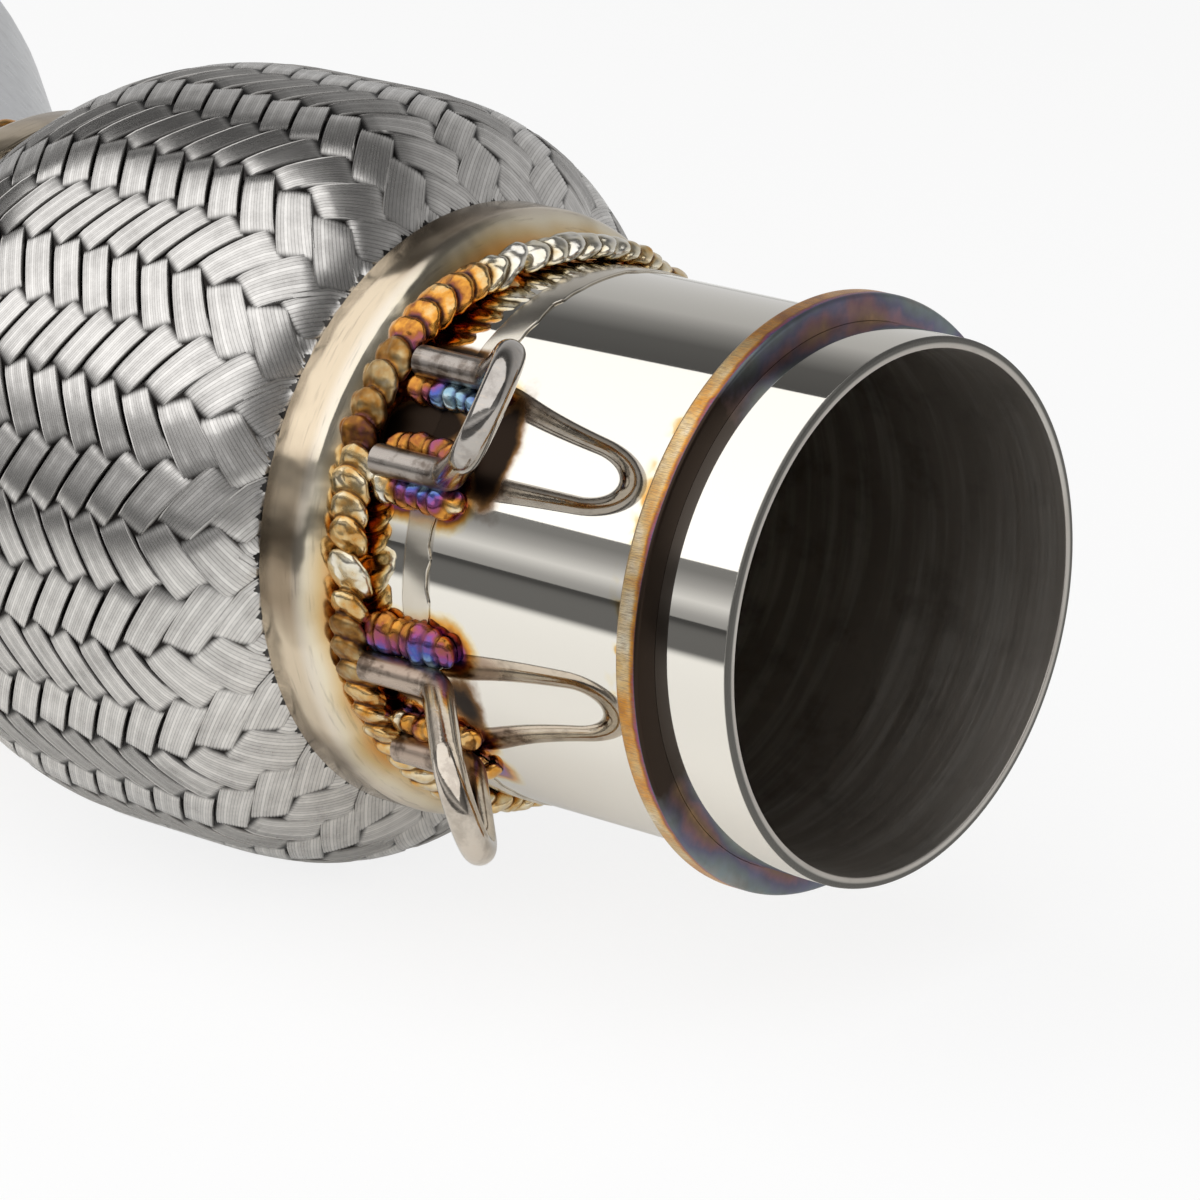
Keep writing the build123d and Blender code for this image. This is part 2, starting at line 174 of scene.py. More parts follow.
class Shader:
    """Node tree of one material or world, with the coordinates that the finishes use."""

    def __init__(self, name: str, world: bpy.types.World | None = None) -> None:
        """Starts an empty tree, in a new material or in a given world."""
        self.material = world or bpy.data.materials.new(name)
        self.material.use_nodes = True
        self.tree = self.material.node_tree
        self.tree.nodes.clear()

    def node(
        self,
        kind: str,
        settings: dict[str, object],
        inputs: dict[int | str, object],
        output: int | str = 0,
    ) -> Value:
        """Adds one node of any type.

        Args:
            kind: The node's type.
            settings: Its settings, and for a ramp its stops.
            inputs: Values or links of its sockets, by number or name.
            output: Which output is wanted.

        Returns:
            The wanted output.
        """
        made = self.tree.nodes.new(kind)
        for name, setting in settings.items():
            if name == "stops":
                self.set_stops(made.color_ramp, setting)
            else:
                setattr(made, name, setting)
        for key, value in inputs.items():
            socket = made.inputs[key]
            if isinstance(value, Value):
                self.tree.links.new(value.socket, socket)
            elif isinstance(value, tuple) and socket.type == "RGBA":
                socket.default_value = (*value, 1.0)
            else:
                socket.default_value = value
        return Value(self, made.outputs[output]) if len(made.outputs) else Value(self, None)

    @staticmethod
    def set_stops(ramp: bpy.types.ColorRamp, stops: Sequence[tuple[float, Colour]]) -> None:
        """Gives a ramp its stops.

        Args:
            ramp: The ramp.
            stops: Place and colour of each stop, in order.
        """
        while len(ramp.elements) < len(stops):
            ramp.elements.new(1.0)
        for element, (place, colour) in zip(ramp.elements, stops):
            element.position = place
            element.color = (*colour, 1.0)

    def split(self, vector: Value) -> tuple[Value, Value, Value]:
        """The three parts of a vector."""
        made = self.tree.nodes.new("ShaderNodeSeparateXYZ")
        self.tree.links.new(vector.socket, made.inputs[0])
        return tuple(Value(self, socket) for socket in made.outputs)

    def polar(self) -> tuple[Value, Value, Value]:
        """Station along the pipe and radius in millimetres, and angle round it in degrees."""
        place = self.node("ShaderNodeTexCoord", {}, {}, "Object")
        x, y, z = self.split(place)
        radius = (y * y + z * z) ** 0.5
        angle = (y * -1).math("ARCTAN2", z)
        return x / MM, radius / MM, angle * (180 / math.pi)

    def mix(self, factor: "Value | float", first: "Value | Colour", second: "Value | Colour") -> Value:
        """Blends two colours.

        Args:
            factor: 0 for the first colour, 1 for the second.
            first: A colour.
            second: Another.

        Returns:
            The blend.
        """
        settings = {"data_type": "RGBA", "clamp_factor": True}
        return self.node("ShaderNodeMix", settings, {0: factor, 6: first, 7: second}, 2)

    def noise(self, scales: Point | float, detail: float = 2.0, rough: float = 0.5) -> Value:
        """Noise on the object's own coordinates.

        Args:
            scales: Waves per millimetre, along X, Y and Z or the same for all.
            detail: How many finer layers are added.
            rough: How strong those are.

        Returns:
            The noise, mostly between 0.3 and 0.7.
        """
        place = self.node("ShaderNodeTexCoord", {}, {}, "Object")
        scales = scales if isinstance(scales, tuple) else (scales,) * 3
        scale = tuple(value / MM for value in scales)
        stretched = self.node("ShaderNodeVectorMath", {"operation": "MULTIPLY"}, {0: place, 1: scale})
        inputs = {"Vector": stretched, "Scale": 1.0, "Detail": detail, "Roughness": rough}
        return self.node("ShaderNodeTexNoise", {}, inputs)

    @staticmethod
    def spot(x: Value, angle: Value, at: Pair, spread: Pair) -> Value:
        """Soft round patch on the pipe's surface.

        Args:
            x: Station along the pipe.
            angle: Angle round it.
            at: Station and angle of the patch's middle.
            spread: Its half widths in the same units.

        Returns:
            1 in the middle, falling to 0.
        """
        along = (x - at[0]) / spread[0]
        across = (angle - at[1]) / spread[1]
        return ((along * along + across * across) * -1).math("EXPONENT")

    def kept(self) -> tuple[Value, Value, Value]:
        """The two values that the mesh keeps in its UV map, and a third that is 0."""
        return self.split(self.node("ShaderNodeUVMap", {"uv_map": "UVMap"}, {}))

    def heat(self, amount: Value) -> Value:
        """Colour of steel that has been heated by an amount between 0 and 1."""
        return self.node("ShaderNodeValToRGB", {"stops": HEAT_COLOURS}, {0: amount})

    def bump(self, height: Value, distance: float, strength: float = 1.0) -> Value:
        """Normal that a height between 0 and 1 gives.

        Args:
            height: The height.
            distance: What 1 stands for, in millimetres.
            strength: How much of it shows.

        Returns:
            The normal.
        """
        inputs = {"Height": height, "Distance": distance * MM, "Strength": strength}
        return self.node("ShaderNodeBump", {}, inputs)

    def metal(self, colour: Value, rough: Value, normal: Value | None = None) -> bpy.types.Material:
        """Closes the tree as bare metal.

        Args:
            colour: The metal's colour.
            rough: Its roughness.
            normal: Its normal, where that isn't the mesh's own.

        Returns:
            The material.
        """
        inputs = {"Base Color": colour, "Metallic": 1.0, "Roughness": rough}
        if normal is not None:
            inputs["Normal"] = normal
        surface = self.node("ShaderNodeBsdfPrincipled", {}, inputs)
        self.node("ShaderNodeOutputMaterial", {}, {"Surface": surface})
        return self.material


class Bench:
    """Holds pieces for bpy.ops: what is selected, what is active and which mode is on."""

    @staticmethod
    def clear() -> None:
        """Deselects everything."""
        for item in bpy.context.view_layer.objects:
            item.select_set(False)

    @staticmethod
    def hold(*pieces: bpy.types.Object) -> None:
        """Selects only these pieces and makes the first one active."""
        Bench.clear()
        for piece in pieces:
            piece.select_set(True)
        bpy.context.view_layer.objects.active = pieces[0]

    @staticmethod
    def start(name: str, primitive: Callable[..., object], **sizes: object) -> bpy.types.Object:
        """Adds a primitive under a name.

        Args:
            name: The new piece's name.
            primitive: The operator that adds it.
            sizes: Its settings.

        Returns:
            The new object.
        """
        Bench.clear()
        primitive(**sizes)
        made = bpy.context.object
        made.name = name
        made.data.name = name
        return made

    @staticmethod
    def apply_modifiers(piece: bpy.types.Object) -> None:
        """Applies each modifier of a piece, in order."""
        Bench.hold(piece)
        for name in [modifier.name for modifier in piece.modifiers]:
            bpy.ops.object.modifier_apply(modifier=name)

    @staticmethod
    def close(piece: bpy.types.Object, crease: float = 35.0) -> None:
        """Merges doubles, turns the faces outwards and smooths all but the sharp edges.

        Args:
            piece: The piece.
            crease: Edges bent by more degrees than this stay sharp.
        """
        Bench.hold(piece)
        bpy.ops.object.mode_set(mode="EDIT")
        bpy.ops.mesh.select_all(action="SELECT")
        bpy.ops.mesh.remove_doubles(threshold=1e-6)
        bpy.ops.mesh.normals_make_consistent(inside=False)
        bpy.ops.object.mode_set(mode="OBJECT")
        bpy.ops.object.shade_smooth_by_angle(angle=math.radians(crease))

    @staticmethod
    def turned(piece: bpy.types.Object, count: int, name: str) -> bpy.types.Object:
        """Joins copies of a piece turned evenly round the pipe's axis.

        Args:
            piece: The piece that is copied, which becomes part of the result.
            count: How many there are in all.
            name: Name of the result.

        Returns:
            The joined piece.
        """
        copies = [piece]
        for i in range(1, count):
            Bench.hold(piece)
            bpy.ops.object.duplicate(linked=False)
            copy = bpy.context.object
            bpy.ops.transform.rotate(
                value=-2 * math.pi * i / count, orient_axis="X", center_override=(0.0, 0.0, 0.0)
            )
            copies.append(copy)
        Bench.hold(*copies)
        bpy.ops.object.transform_apply(location=True, rotation=True, scale=True)
        bpy.ops.object.join()
        piece.name = name
        piece.data.name = name
        return piece


def dress(piece: bpy.types.Object, material: bpy.types.Material, slot: Slot, *nodes: str) -> None:
    """Gives a new piece its material and its place in the frame.

    Args:
        piece: The finished piece.
        material: Its material.
        slot: The record's slot for its finish; not used.
        nodes: The CAD nodes that it stands for.
    """
    piece.data.materials.clear()
    piece.data.materials.append(material)
    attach(piece, "root")
    if nodes:
        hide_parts(*nodes)
    LOG.info("%s: %d faces for %s", piece.name, len(piece.data.polygons), ", ".join(nodes) or "nothing")


def recoat(material: bpy.types.Material, *nodes: str) -> None:
    """Gives carried-over CAD nodes a better material."""
    for name in nodes:
        for slot in frame["nodes"][name].material_slots:
            slot.material = material
        LOG.info("%s: CAD node in %s", name, material.name)


def lathe(name: str, section: Sequence[Pair], steps: int = 288) -> bpy.types.Object:
    """Turns a closed section round the pipe's axis.

    Args:
        name: Name of the piece.
        section: Station and radius of each corner, in order.
        steps: How many steps make the full turn.

    Returns:
        The turned piece.
    """
    piece = Bench.start(name, bpy.ops.mesh.primitive_circle_add, vertices=len(section), radius=MM)
    for vertex, (x, radius) in zip(piece.data.vertices, section):
        vertex.co = (x * MM, 0.0, radius * MM)
    bpy.ops.object.mode_set(mode="EDIT")
    bpy.ops.mesh.select_all(action="SELECT")
    bpy.ops.mesh.spin(steps=steps, angle=2 * math.pi, center=(0.0, 0.0, 0.0), axis=(1.0, 0.0, 0.0))
    bpy.ops.object.mode_set(mode="OBJECT")
    Bench.close(piece)
    return piece


def rounded(section: Sequence[Pair], radii: dict[int, float], steps: int = 5) -> list[Pair]:
    """Rounds some corners of a section.

    Args:
        section: The section's corners.
        radii: Rounding radius by a corner's number.
        steps: Points on each rounding, less one.

    Returns:
        The new corners.
    """
    result = []
    for i, (x, y) in enumerate(section):
        if i not in radii:
            result.append((x, y))
            continue
        here = Vector((x, y))
        back = (Vector(section[i - 1]) - here).normalized()
        ahead = (Vector(section[(i + 1) % len(section)]) - here).normalized()
        half = back.angle(ahead) / 2
        reach = radii[i] / math.tan(half)
        middle = here + (back + ahead).normalized() * radii[i] / math.sin(half)
        first, last = here + back * reach - middle, here + ahead * reach - middle
        for k in range(steps + 1):
            spoke = first.slerp(last, k / steps) if first.angle(last) > 1e-4 else first
            spoke = spoke.normalized() * radii[i]
            result.append((middle.x + spoke.x, middle.y + spoke.y))
    return result


@dataclass(frozen=True)
class PolishedTube:
    """Mirror-polished tube with a brushed rim, a brown bore, tint and soot round the welds, and painted
    reflection and shadow of the hooks' arches.

    A weld line is the station of its middle, its angle and half its length. A smoke patch
    is its middle, its half widths and how black it is. The two patches just in front of the
    hooks' arches are painted reflection and shadow of the arches; the rest are soot.
    """

    name: str = "polished_tube"
    bore: Colour = (0.36, 0.32, 0.28)
    bore_streak: Colour = (0.52, 0.49, 0.45)
    rim: Colour = (0.13, 0.125, 0.115)
    bore_stain: Colour = (0.10, 0.07, 0.05)
    bore_lip: Colour = (0.60, 0.58, 0.55)
    flat_weld: Colour = (0.50, 0.44, 0.35)
    scorch_and_arch_reflection: Colour = (0.20, 0.10, 0.035)
    soot: Colour = (0.020, 0.013, 0.009)
    reach: float = 3.2
    weld_half_width: float = 2.0
    bead_edge: float = -59.6
    bead_run: float = 6.0
    ring_spots_edge: float = -21.0
    hottest: float = 0.64
    weld_lines: tuple[Point, ...] = (
        (-55.5, 47.5, 6.5),
        (-55.5, 60.0, 6.5),
        (-56.2, 68.2, 5.4),
        (-55.2, 99.2, 6.4),
        (-55.5, 121.5, 6.0),
        (-55.5, 131.5, 6.0),
    )
    smoke: tuple[tuple[Pair, Pair, float], ...] = (
        ((-58.0, 53.5), (7.0, 5.0), 1.1),
        # Painted reflection and shadow of the upper hook's arch, not soot
        ((-45.8, 56.0), (3.6, 13.0), 1.15),
        ((-60.0, 37.0), (7.0, 2.6), 0.9),
        ((-63.0, 62.0), (3.0, 9.0), 0.9),
        ((-58.0, 111.0), (7.0, 4.5), 1.0),
        # Painted reflection and shadow of the lower hook's arch, not soot
        ((-48.0, 113.0), (3.4, 9.0), 0.62),
    )

    def tint(self, shader: Shader, x: Value, angle: Value) -> Value:
        """How hot the steel got, from its distance to the nearest weld.

        Args:
            shader: The material's tree.
            x: Station along the pipe.
            angle: Angle round it.

        Returns:
            Heat between 0 and 1.
        """
        wobble = (shader.noise(0.30, 3.0) - 0.5) * 3.6
        nearest = None
        for middle, turn, half in self.weld_lines:
            along = ((x - middle).math("ABSOLUTE") - half).math("MAXIMUM", 0.0)
            across = (angle - turn) * MM_PER_DEGREE
            distance = (along * along + across * across) ** 0.5 - self.weld_half_width
            nearest = distance if nearest is None else nearest.math("MINIMUM", distance)
        hooks = (self.reach - nearest - wobble * 0.6) / self.reach
        bead = ((self.bead_edge - x + wobble * 0.5) / self.bead_run).math("MINIMUM", 0.55)
        spots = shader.noise(0.20, 2.0).step(0.50, 0.62)
        ring = ((x - self.ring_spots_edge) * 0.22 + wobble * 0.12) * spots * x.step(-16.0, -16.4)
        return hooks.math("MAXIMUM", bead).math("MAXIMUM", ring).clamp() * self.hottest

    def material(self) -> bpy.types.Material:
        """Builds the material."""
        shader = Shader(self.name)
        x, radius, angle = shader.polar()
        inside = radius.step(37.4, 36.9)
        rim = x.step(-0.6, -0.35) * (1 - inside)
        rings = shader.noise((1.6, 0.03, 0.03), 3.0, 0.6)
        streaks = shader.noise((0.35, 0.025, 0.025), 3.0, 0.6)
        grit = shader.noise(3.0, 3.0, 0.7)
        cloud = shader.noise(0.12, 4.0, 0.6)
        smoke = (cloud - 0.5) * 0.9
        # The soot patches and the painted reflection and shadow of the arches darken the tube alike
        for at, spread, strength in self.smoke:
            smoke = smoke + shader.spot(x, angle, at, spread) * strength
        band = x.step(-57.5, -57.2) * x.step(-52.1, -52.5) * (1 - inside)
        outside = shader.heat(self.tint(shader, x, angle))
        outside = shader.mix(band * (0.35 + cloud * 0.5), outside, self.flat_weld)
        outside = shader.mix(smoke.step(0.22, 0.55), outside, self.scorch_and_arch_reflection)
        outside = shader.mix(smoke.step(0.42, 0.72), outside, self.soot)
        bore = shader.mix(streaks.step(0.45, 0.68), self.bore, self.bore_streak)
        bore = shader.mix(cloud.step(0.48, 0.72) * 0.4, bore, self.bore_stain)
        bore = shader.mix(x.step(-34.0, 0.0) * 0.4, bore, self.bore_lip)
        colour = shader.mix(inside, outside, bore)
        colour = shader.mix(rim, colour, self.rim)
        dirty = smoke.step(0.3, 0.6) * (1 - inside)
        rough = 0.035 + inside * (0.30 + rings * 0.2) + rim * (0.28 + grit * 0.3)
        rough = rough + dirty * 0.35 + band * 0.13
        normal = shader.bump(grit, 0.10, rim * 0.9 + inside * 0.06)
        return shader.metal(colour, rough, normal)


@dataclass(frozen=True)
class StopRingTint:
    """Turned ring whose rim is straw with fine strokes and whose front face is burnt dark."""

    name: str = "tinted_ring"
    burnt: Colour = (0.035, 0.024, 0.018)
    smoke: Colour = (0.20, 0.18, 0.15)
    stroke: Colour = (0.26, 0.17, 0.12)

    def material(self) -> bpy.types.Material:
        """Builds the material."""
        shader = Shader(self.name)
        x, radius, angle = shader.polar()
        face = x.step(-12.95, -12.65)
        strokes = shader.noise((0.5, 10.0, 10.0), 3.0, 0.7)
        drift = shader.noise(0.06, 3.0)
        mottle = shader.noise(0.25, 3.0, 0.6)
        edge = x.step(-13.9, -13.0)
        top = angle.step(32.0, 8.0) * angle.step(-80.0, -60.0)
        rim = 0.25 + (drift - 0.5) * 0.44 + (mottle - 0.5) * 0.40 + edge * 0.22 + top * 0.12
        front = 0.54 + (radius - 39.0) * 0.09 + (drift - 0.5) * 1.3 + (mottle - 0.5) * 0.3
        amount = rim * (1 - face) + front * face
        colour = shader.heat(amount.clamp())
        dark = face * angle.step(20.0, 44.0) * angle.step(132.0, 108.0)
        colour = shader.mix(face * 0.62, colour, self.smoke)
        colour = shader.mix(dark * (0.96 - mottle * 0.2) + face * (mottle - 0.2), colour, self.burnt)
        colour = shader.mix(strokes.step(0.46, 0.60) * (1 - face) * 0.62, colour, self.stroke)
        rough = 0.26 + strokes * 0.16
        normal = shader.bump(strokes, 0.05, (1 - face) * 0.6 + 0.1)
        return shader.metal(colour, rough, normal)


@dataclass(frozen=True)
class SpunCollar:
    """Glossy spun steel with a brown film that thickens towards the weld."""

    name: str = "collar_steel"
    steel: Colour = (0.60, 0.50, 0.37)
    film: Colour = (0.24, 0.18, 0.12)
    scuffed: Colour = (0.12, 0.09, 0.07)

    def material(self) -> bpy.types.Material:
        """Builds the material."""
        shader = Shader(self.name)
        x, _, _ = shader.polar()
        reach = (x - FLEX_MIDDLE).math("ABSOLUTE")
        drift = shader.noise(0.05, 3.0)
        wave = shader.noise(0.10, 2.0)
        scuff = shader.noise((2.0, 0.15, 0.15), 3.0, 0.6)
        colour = shader.mix(drift.step(0.40, 0.60) * 0.9, self.steel, self.film)
        tint = reach.step(46.4, 50.6) * 0.34 + (drift - 0.5) * 0.4
        colour = shader.mix(reach.step(45.6, 48.8) * 0.75, colour, shader.heat(tint.clamp()))
        colour = shader.mix(scuff.step(0.55, 0.75) * 0.3, colour, self.scuffed)
        rough = 0.10 + drift.step(0.4, 0.65) * 0.10 + scuff * 0.06
        normal = shader.bump(wave, 0.55, 0.55)
        return shader.metal(colour, rough, normal)


@dataclass(frozen=True)
class HookSteel:
    """Bent rod: a scorched, dull leg and a cleaner, brighter arch."""

    name: str
    leg: Colour = (0.33, 0.29, 0.26)
    arch: Colour = (0.44, 0.41, 0.38)
    stain: Colour = (0.07, 0.045, 0.03)
    gleam: Colour = (0.55, 0.46, 0.38)

    def material(self) -> bpy.types.Material:
        """Builds the material."""
        shader = Shader(self.name)
        _, radius, _ = shader.polar()
        raised = radius.step(41.8, 45.5)
        streaks = shader.noise((0.18, 1.4, 1.4), 3.0, 0.6)
        patches = shader.noise(0.28, 4.0, 0.6)
        colour = shader.mix(raised, self.leg, self.arch)
        colour = shader.mix(patches.step(0.47, 0.66) * (0.85 - raised * 0.6), colour, self.stain)
        colour = shader.mix(streaks.step(0.52, 0.72) * 0.35, colour, self.gleam)
        rough = 0.34 - raised * 0.23 + (streaks - 0.5) * 0.16
        normal = shader.bump(streaks, 0.05, 0.3)
        return shader.metal(colour, rough, normal)


@dataclass(frozen=True)
class TintedSteel:
    """Brushed steel with an even heat tint that drifts a little."""

    name: str
    base_heat: float = 0.15
    spread: float = 0.25
    rough: float = 0.25
    grime: Colour = (0.08, 0.06, 0.05)

    def material(self) -> bpy.types.Material:
        """Builds the material."""
        shader = Shader(self.name)
        drift = shader.noise(0.09, 3.0)
        brush = shader.noise((3.0, 0.06, 0.06), 3.0, 0.6)
        amount = self.base_heat + (drift - 0.5) * self.spread
        colour = shader.heat(amount.clamp())
        colour = shader.mix(brush.step(0.3, 0.75) * 0.25, colour, self.grime)
        normal = shader.bump(brush, 0.02, 0.3)
        rough = self.rough + (brush - 0.5) * 0.2
        return shader.metal(colour, rough, normal)


@dataclass(frozen=True)
class PipeSteel:
    """Satin pipe, browned where it leaves the flex joint."""

    name: str = "pipe_steel"
    steel: Colour = (0.52, 0.53, 0.55)
    speck: Colour = (0.24, 0.23, 0.23)
    tint_end: float = -196.0
    tint_run: float = 26.0

    def material(self) -> bpy.types.Material:
        """Builds the material."""
        shader = Shader(self.name)
        x, _, _ = shader.polar()
        drift = shader.noise(0.06, 3.0)
        brush = shader.noise(0.3, 4.0, 0.7)
        tint = (x - self.tint_end) / self.tint_run + (drift - 0.5) * 0.5
        colour = shader.mix(tint.clamp(), self.steel, shader.heat((tint * 0.55).clamp()))
        colour = shader.mix(brush.step(0.5, 0.7) * 0.2, colour, self.speck)
        rough = 0.30 + (brush - 0.5) * 0.2
        normal = shader.bump(brush, 0.04, 0.2)
        return shader.metal(colour, rough, normal)


@dataclass(frozen=True)
class BraidWire:
    """Fine wires side by side in a ribbon, dark at its edges, with painted shade where it dives under.
    """

    name: str = "braid_wire"
    bright: Colour = (0.68, 0.66, 0.635)
    dull: Colour = (0.22, 0.21, 0.20)
    shade: Colour = (0.018, 0.016, 0.015)

    def material(self) -> bpy.types.Material:
        """Builds the material."""
        shader = Shader(self.name)
        across, phase, _ = shader.kept()
        wire = across * RIBBON_WIRES
        number = wire.math("FLOOR")
        valley = (wire - number - 0.5).math("ABSOLUTE")
        tone = shader.node("ShaderNodeTexWhiteNoise", {"noise_dimensions": "1D"}, {"W": number + 0.5})
        grain = shader.noise(0.25, 3.0)
        fine = shader.noise(1.6, 2.0)
        lines = valley.step(0.32, 0.5) * 0.5 + tone * 0.35 + (grain - 0.5) * 0.7 + (fine - 0.5) * 0.3
        colour = shader.mix(lines.clamp(), self.bright, self.dull)
        # Painted shade: near-black where the ribbon dives under the crossing ribbons; its edges take
        # the same dark colour
        lay = (phase * (math.pi / 2)).math("COSINE")
        under = lay.step(0.26, -0.06)
        edge = (across - 0.5).math("ABSOLUTE").step(0.435, 0.497)
        colour = shader.mix(under.math("MAXIMUM", edge * 0.92), colour, self.shade)
        rough = 0.20 + tone * 0.07 + (grain - 0.5) * 0.12
        return shader.metal(colour, rough)


@dataclass(frozen=True)
class BraidShade:
    """Dull inner wires, seen only through the small gaps between the ribbons, painted near-black as the
    shade in those gaps.
    """

    name: str = "braid_backing_painted_shade"
    # Near-black colours that stand in for the shade between the ribbons
    dark: Colour = (0.012, 0.011, 0.010)
    knit: Colour = (0.06, 0.055, 0.05)

    def material(self) -> bpy.types.Material:
        """Builds the material."""
        shader = Shader(self.name)
        loops = shader.noise(1.5, 2.0)
        colour = shader.mix(loops.step(0.4, 0.65), self.dark, self.knit)
        return shader.metal(colour, 0.6 + loops * 0.2)


@dataclass
class BraidSleeve:
    """Braid of flat wire ribbons, two over and two under, on the barrel of the flex joint.

    It swells from its end radius to its peak over a run at each end, and the fullness says
    how blunt that is. At the lock radius the ribbons would lie square across the pipe. Tuck
    is how far they run on under the collars, and carriers how many are wound each way. A
    ribbon fills a share of its lane, and lift is how far it dives under the others.
    """

    end_radius: float = 42.75
    peak_radius: float = 57.0
    front_run: float = 31.0
    rear_run: float = 37.0
    front_fullness: float = 4.2
    rear_fullness: float = 2.1
    lock_radius: float = 66.6
    tuck: float = 4.6
    carriers: int = 38
    wire: float = 0.42
    wire_dip: float = 0.095
    lift: float = 0.3
    fill: float = 0.92
    backing_drop: float = 1.1
    stations: int = 96

    def radius(self, x: float) -> float:
        """Outside radius of the braid at a station along the pipe."""
        swell = self.peak_radius - self.end_radius
        front = (x - COLLAR_REAR + self.front_run) / self.front_run
        rear = (COLLAR_REAR - BRAID_LENGTH + self.rear_run - x) / self.rear_run
        if front > 0:
            return self.end_radius + swell * (1 - min(front, 1.0) ** self.front_fullness)
        if rear > 0:
            return self.end_radius + swell * (1 - min(rear, 1.0) ** self.rear_fullness)
        return self.peak_radius

    def trace(self) -> list[Pair]:
        """Path of a ribbon's middle.

        Returns:
            Stations along the pipe and the angle turned there, in radians.
        """
        step = 0.1
        x = COLLAR_REAR + self.tuck
        end = COLLAR_REAR - BRAID_LENGTH - self.tuck
        path, turned = [(x, 0.0)], 0.0
        while x > end:
            slope = (self.radius(x - step) - self.radius(x)) / step
            radius = self.radius(x - step / 2)
            turned += step * math.sqrt(1 + slope**2) / math.sqrt(self.lock_radius**2 - radius**2)
            x -= step
            path.append((x, turned))
        offset = next(t for station, t in path if station <= COLLAR_REAR)
        return [(station, t - offset) for station, t in path]

    def ribbon(self, name: str, hand: int, odd: int) -> bpy.types.Object:
        """One ribbon, from under the front collar to under the rear one.

        Args:
            name: Name of the piece.
            hand: 1 or -1, the way that it winds.
            odd: 0 or 1, which of the two places in the over-and-under order it has.

        Returns:
            The closed ribbon.
        """
        around = 2 * RIBBON_WIRES + 2
        path = self.trace()
        first, last = path[0][1], path[-1][1]
        piece = Bench.start(
            name,
            bpy.ops.mesh.primitive_grid_add,
            x_subdivisions=around,
            y_subdivisions=self.stations,
            size=2.0,
            calc_uvs=True,
        )
        start = 2 * math.pi * odd / self.carriers
        phases = []
        cursor = 0
        columns = around + 1
        for j in range(self.stations + 1):
            turned = first + (last - first) * j / self.stations
            while cursor < len(path) - 2 and path[cursor + 1][1] < turned:
                cursor += 1
            (x0, t0), (x1, t1) = path[cursor], path[cursor + 1]
            x = x0 + (x1 - x0) * (turned - t0) / (t1 - t0)
            radius = self.radius(x)
            sine = radius / self.lock_radius
            cosine = math.sqrt(1 - sine * sine)
            width = self.fill * 2 * math.pi * radius * cosine / self.carriers
            phase = self.phase(turned * self.carriers / math.pi, hand, odd)
            phases.append(phase)
            swing = math.tanh(3.2 * math.cos(math.pi * phase / 2)) / math.tanh(3.2)
            middle = radius - self.wire / 2 - self.lift * (1 - swing) - 0.02
            for i in range(columns):
                vertex = piece.data.vertices[j * columns + i]
                aside, height = self.outline(i % around, width)
                station = x + aside * sine
                angle = start + hand * (turned + aside * cosine / radius)
                own = middle + height - radius + self.radius(station)
                vertex.co = (
                    station * MM,
                    -own * math.sin(angle) * MM,
                    own * math.cos(angle) * MM,
                )
        uvs = piece.data.uv_layers.active.data
        for loop in piece.data.loops:
            j, i = divmod(loop.vertex_index, columns)
            uvs[loop.index].uv = (min(i / (2 * RIBBON_WIRES), 1.0), phases[j])
        Bench.hold(piece)
        bpy.ops.object.mode_set(mode="EDIT")
        bpy.ops.mesh.select_all(action="SELECT")
        bpy.ops.mesh.remove_doubles(threshold=1e-7)
        bpy.ops.mesh.select_all(action="DESELECT")
        bpy.ops.mesh.select_non_manifold()
        bpy.ops.mesh.edge_face_add()
        bpy.ops.object.mode_set(mode="OBJECT")
        Bench.close(piece, 70.0)
        return piece

    @staticmethod
    def phase(crossing: float, hand: int, odd: int) -> float:
        """Place in the over-and-under order, 0 in the middle of a float on top.

        Args:
            crossing: How many ribbons have been crossed.
            hand: The way that the ribbon winds.
            odd: Which of the two orders it has.

        Returns:
            The place, which repeats every 4 crossings.
        """
        return crossing - 0.5 + 2 * odd if hand > 0 else crossing + 2.5 - 2 * odd

    def outline(self, i: int, width: float) -> Pair:
        """Corner of a ribbon's section.

        Args:
            i: The corner's number, from one edge over the wires and back underneath.
            width: The ribbon's width.

        Returns:
            How far it lies from the ribbon's middle and above its middle height.
        """
        if i > 2 * RIBBON_WIRES:
            return 0.0, -self.wire / 2
        aside = width * (i / (2 * RIBBON_WIRES) - 0.5)
        crest = self.wire / 2 if i % 2 else self.wire / 2 - self.wire_dip
        if i in (0, 2 * RIBBON_WIRES):
            crest = -self.wire / 2
        return aside, crest

    def backing(self, material: bpy.types.Material) -> None:
        """Thin inner layer under the ribbons, near-black as painted shade in the gaps between them.

        Args:
            material: Its material.
        """
        first, last = COLLAR_REAR + self.tuck, COLLAR_REAR - BRAID_LENGTH - self.tuck
        stations = [first + (last - first) * i / 60 for i in range(61)]
        outer = [(x, self.radius(x) - self.backing_drop) for x in stations]
        inner = [(x, radius - 0.08) for x, radius in reversed(outer)]
        piece = lathe("braid_backing_painted_shade", outer + inner, 96)
        dress(piece, material, Slot.BRAID_WIRE, "outer_braid")

    def build(self, material: bpy.types.Material, shade: bpy.types.Material) -> None:
        """Builds the four sets of ribbons and the layer under them.

        Args:
            material: The wires' material.
            shade: The inner layer's material.
        """
        self.backing(shade)
        for hand, winding in ((1, "right"), (-1, "left")):
            for odd in (0, 1):
                name = f"braid_{winding}_{odd + 1}"
                piece = Bench.turned(self.ribbon(name, hand, odd), self.carriers // 2, name)
                dress(piece, material, Slot.BRAID_WIRE, "outer_braid")


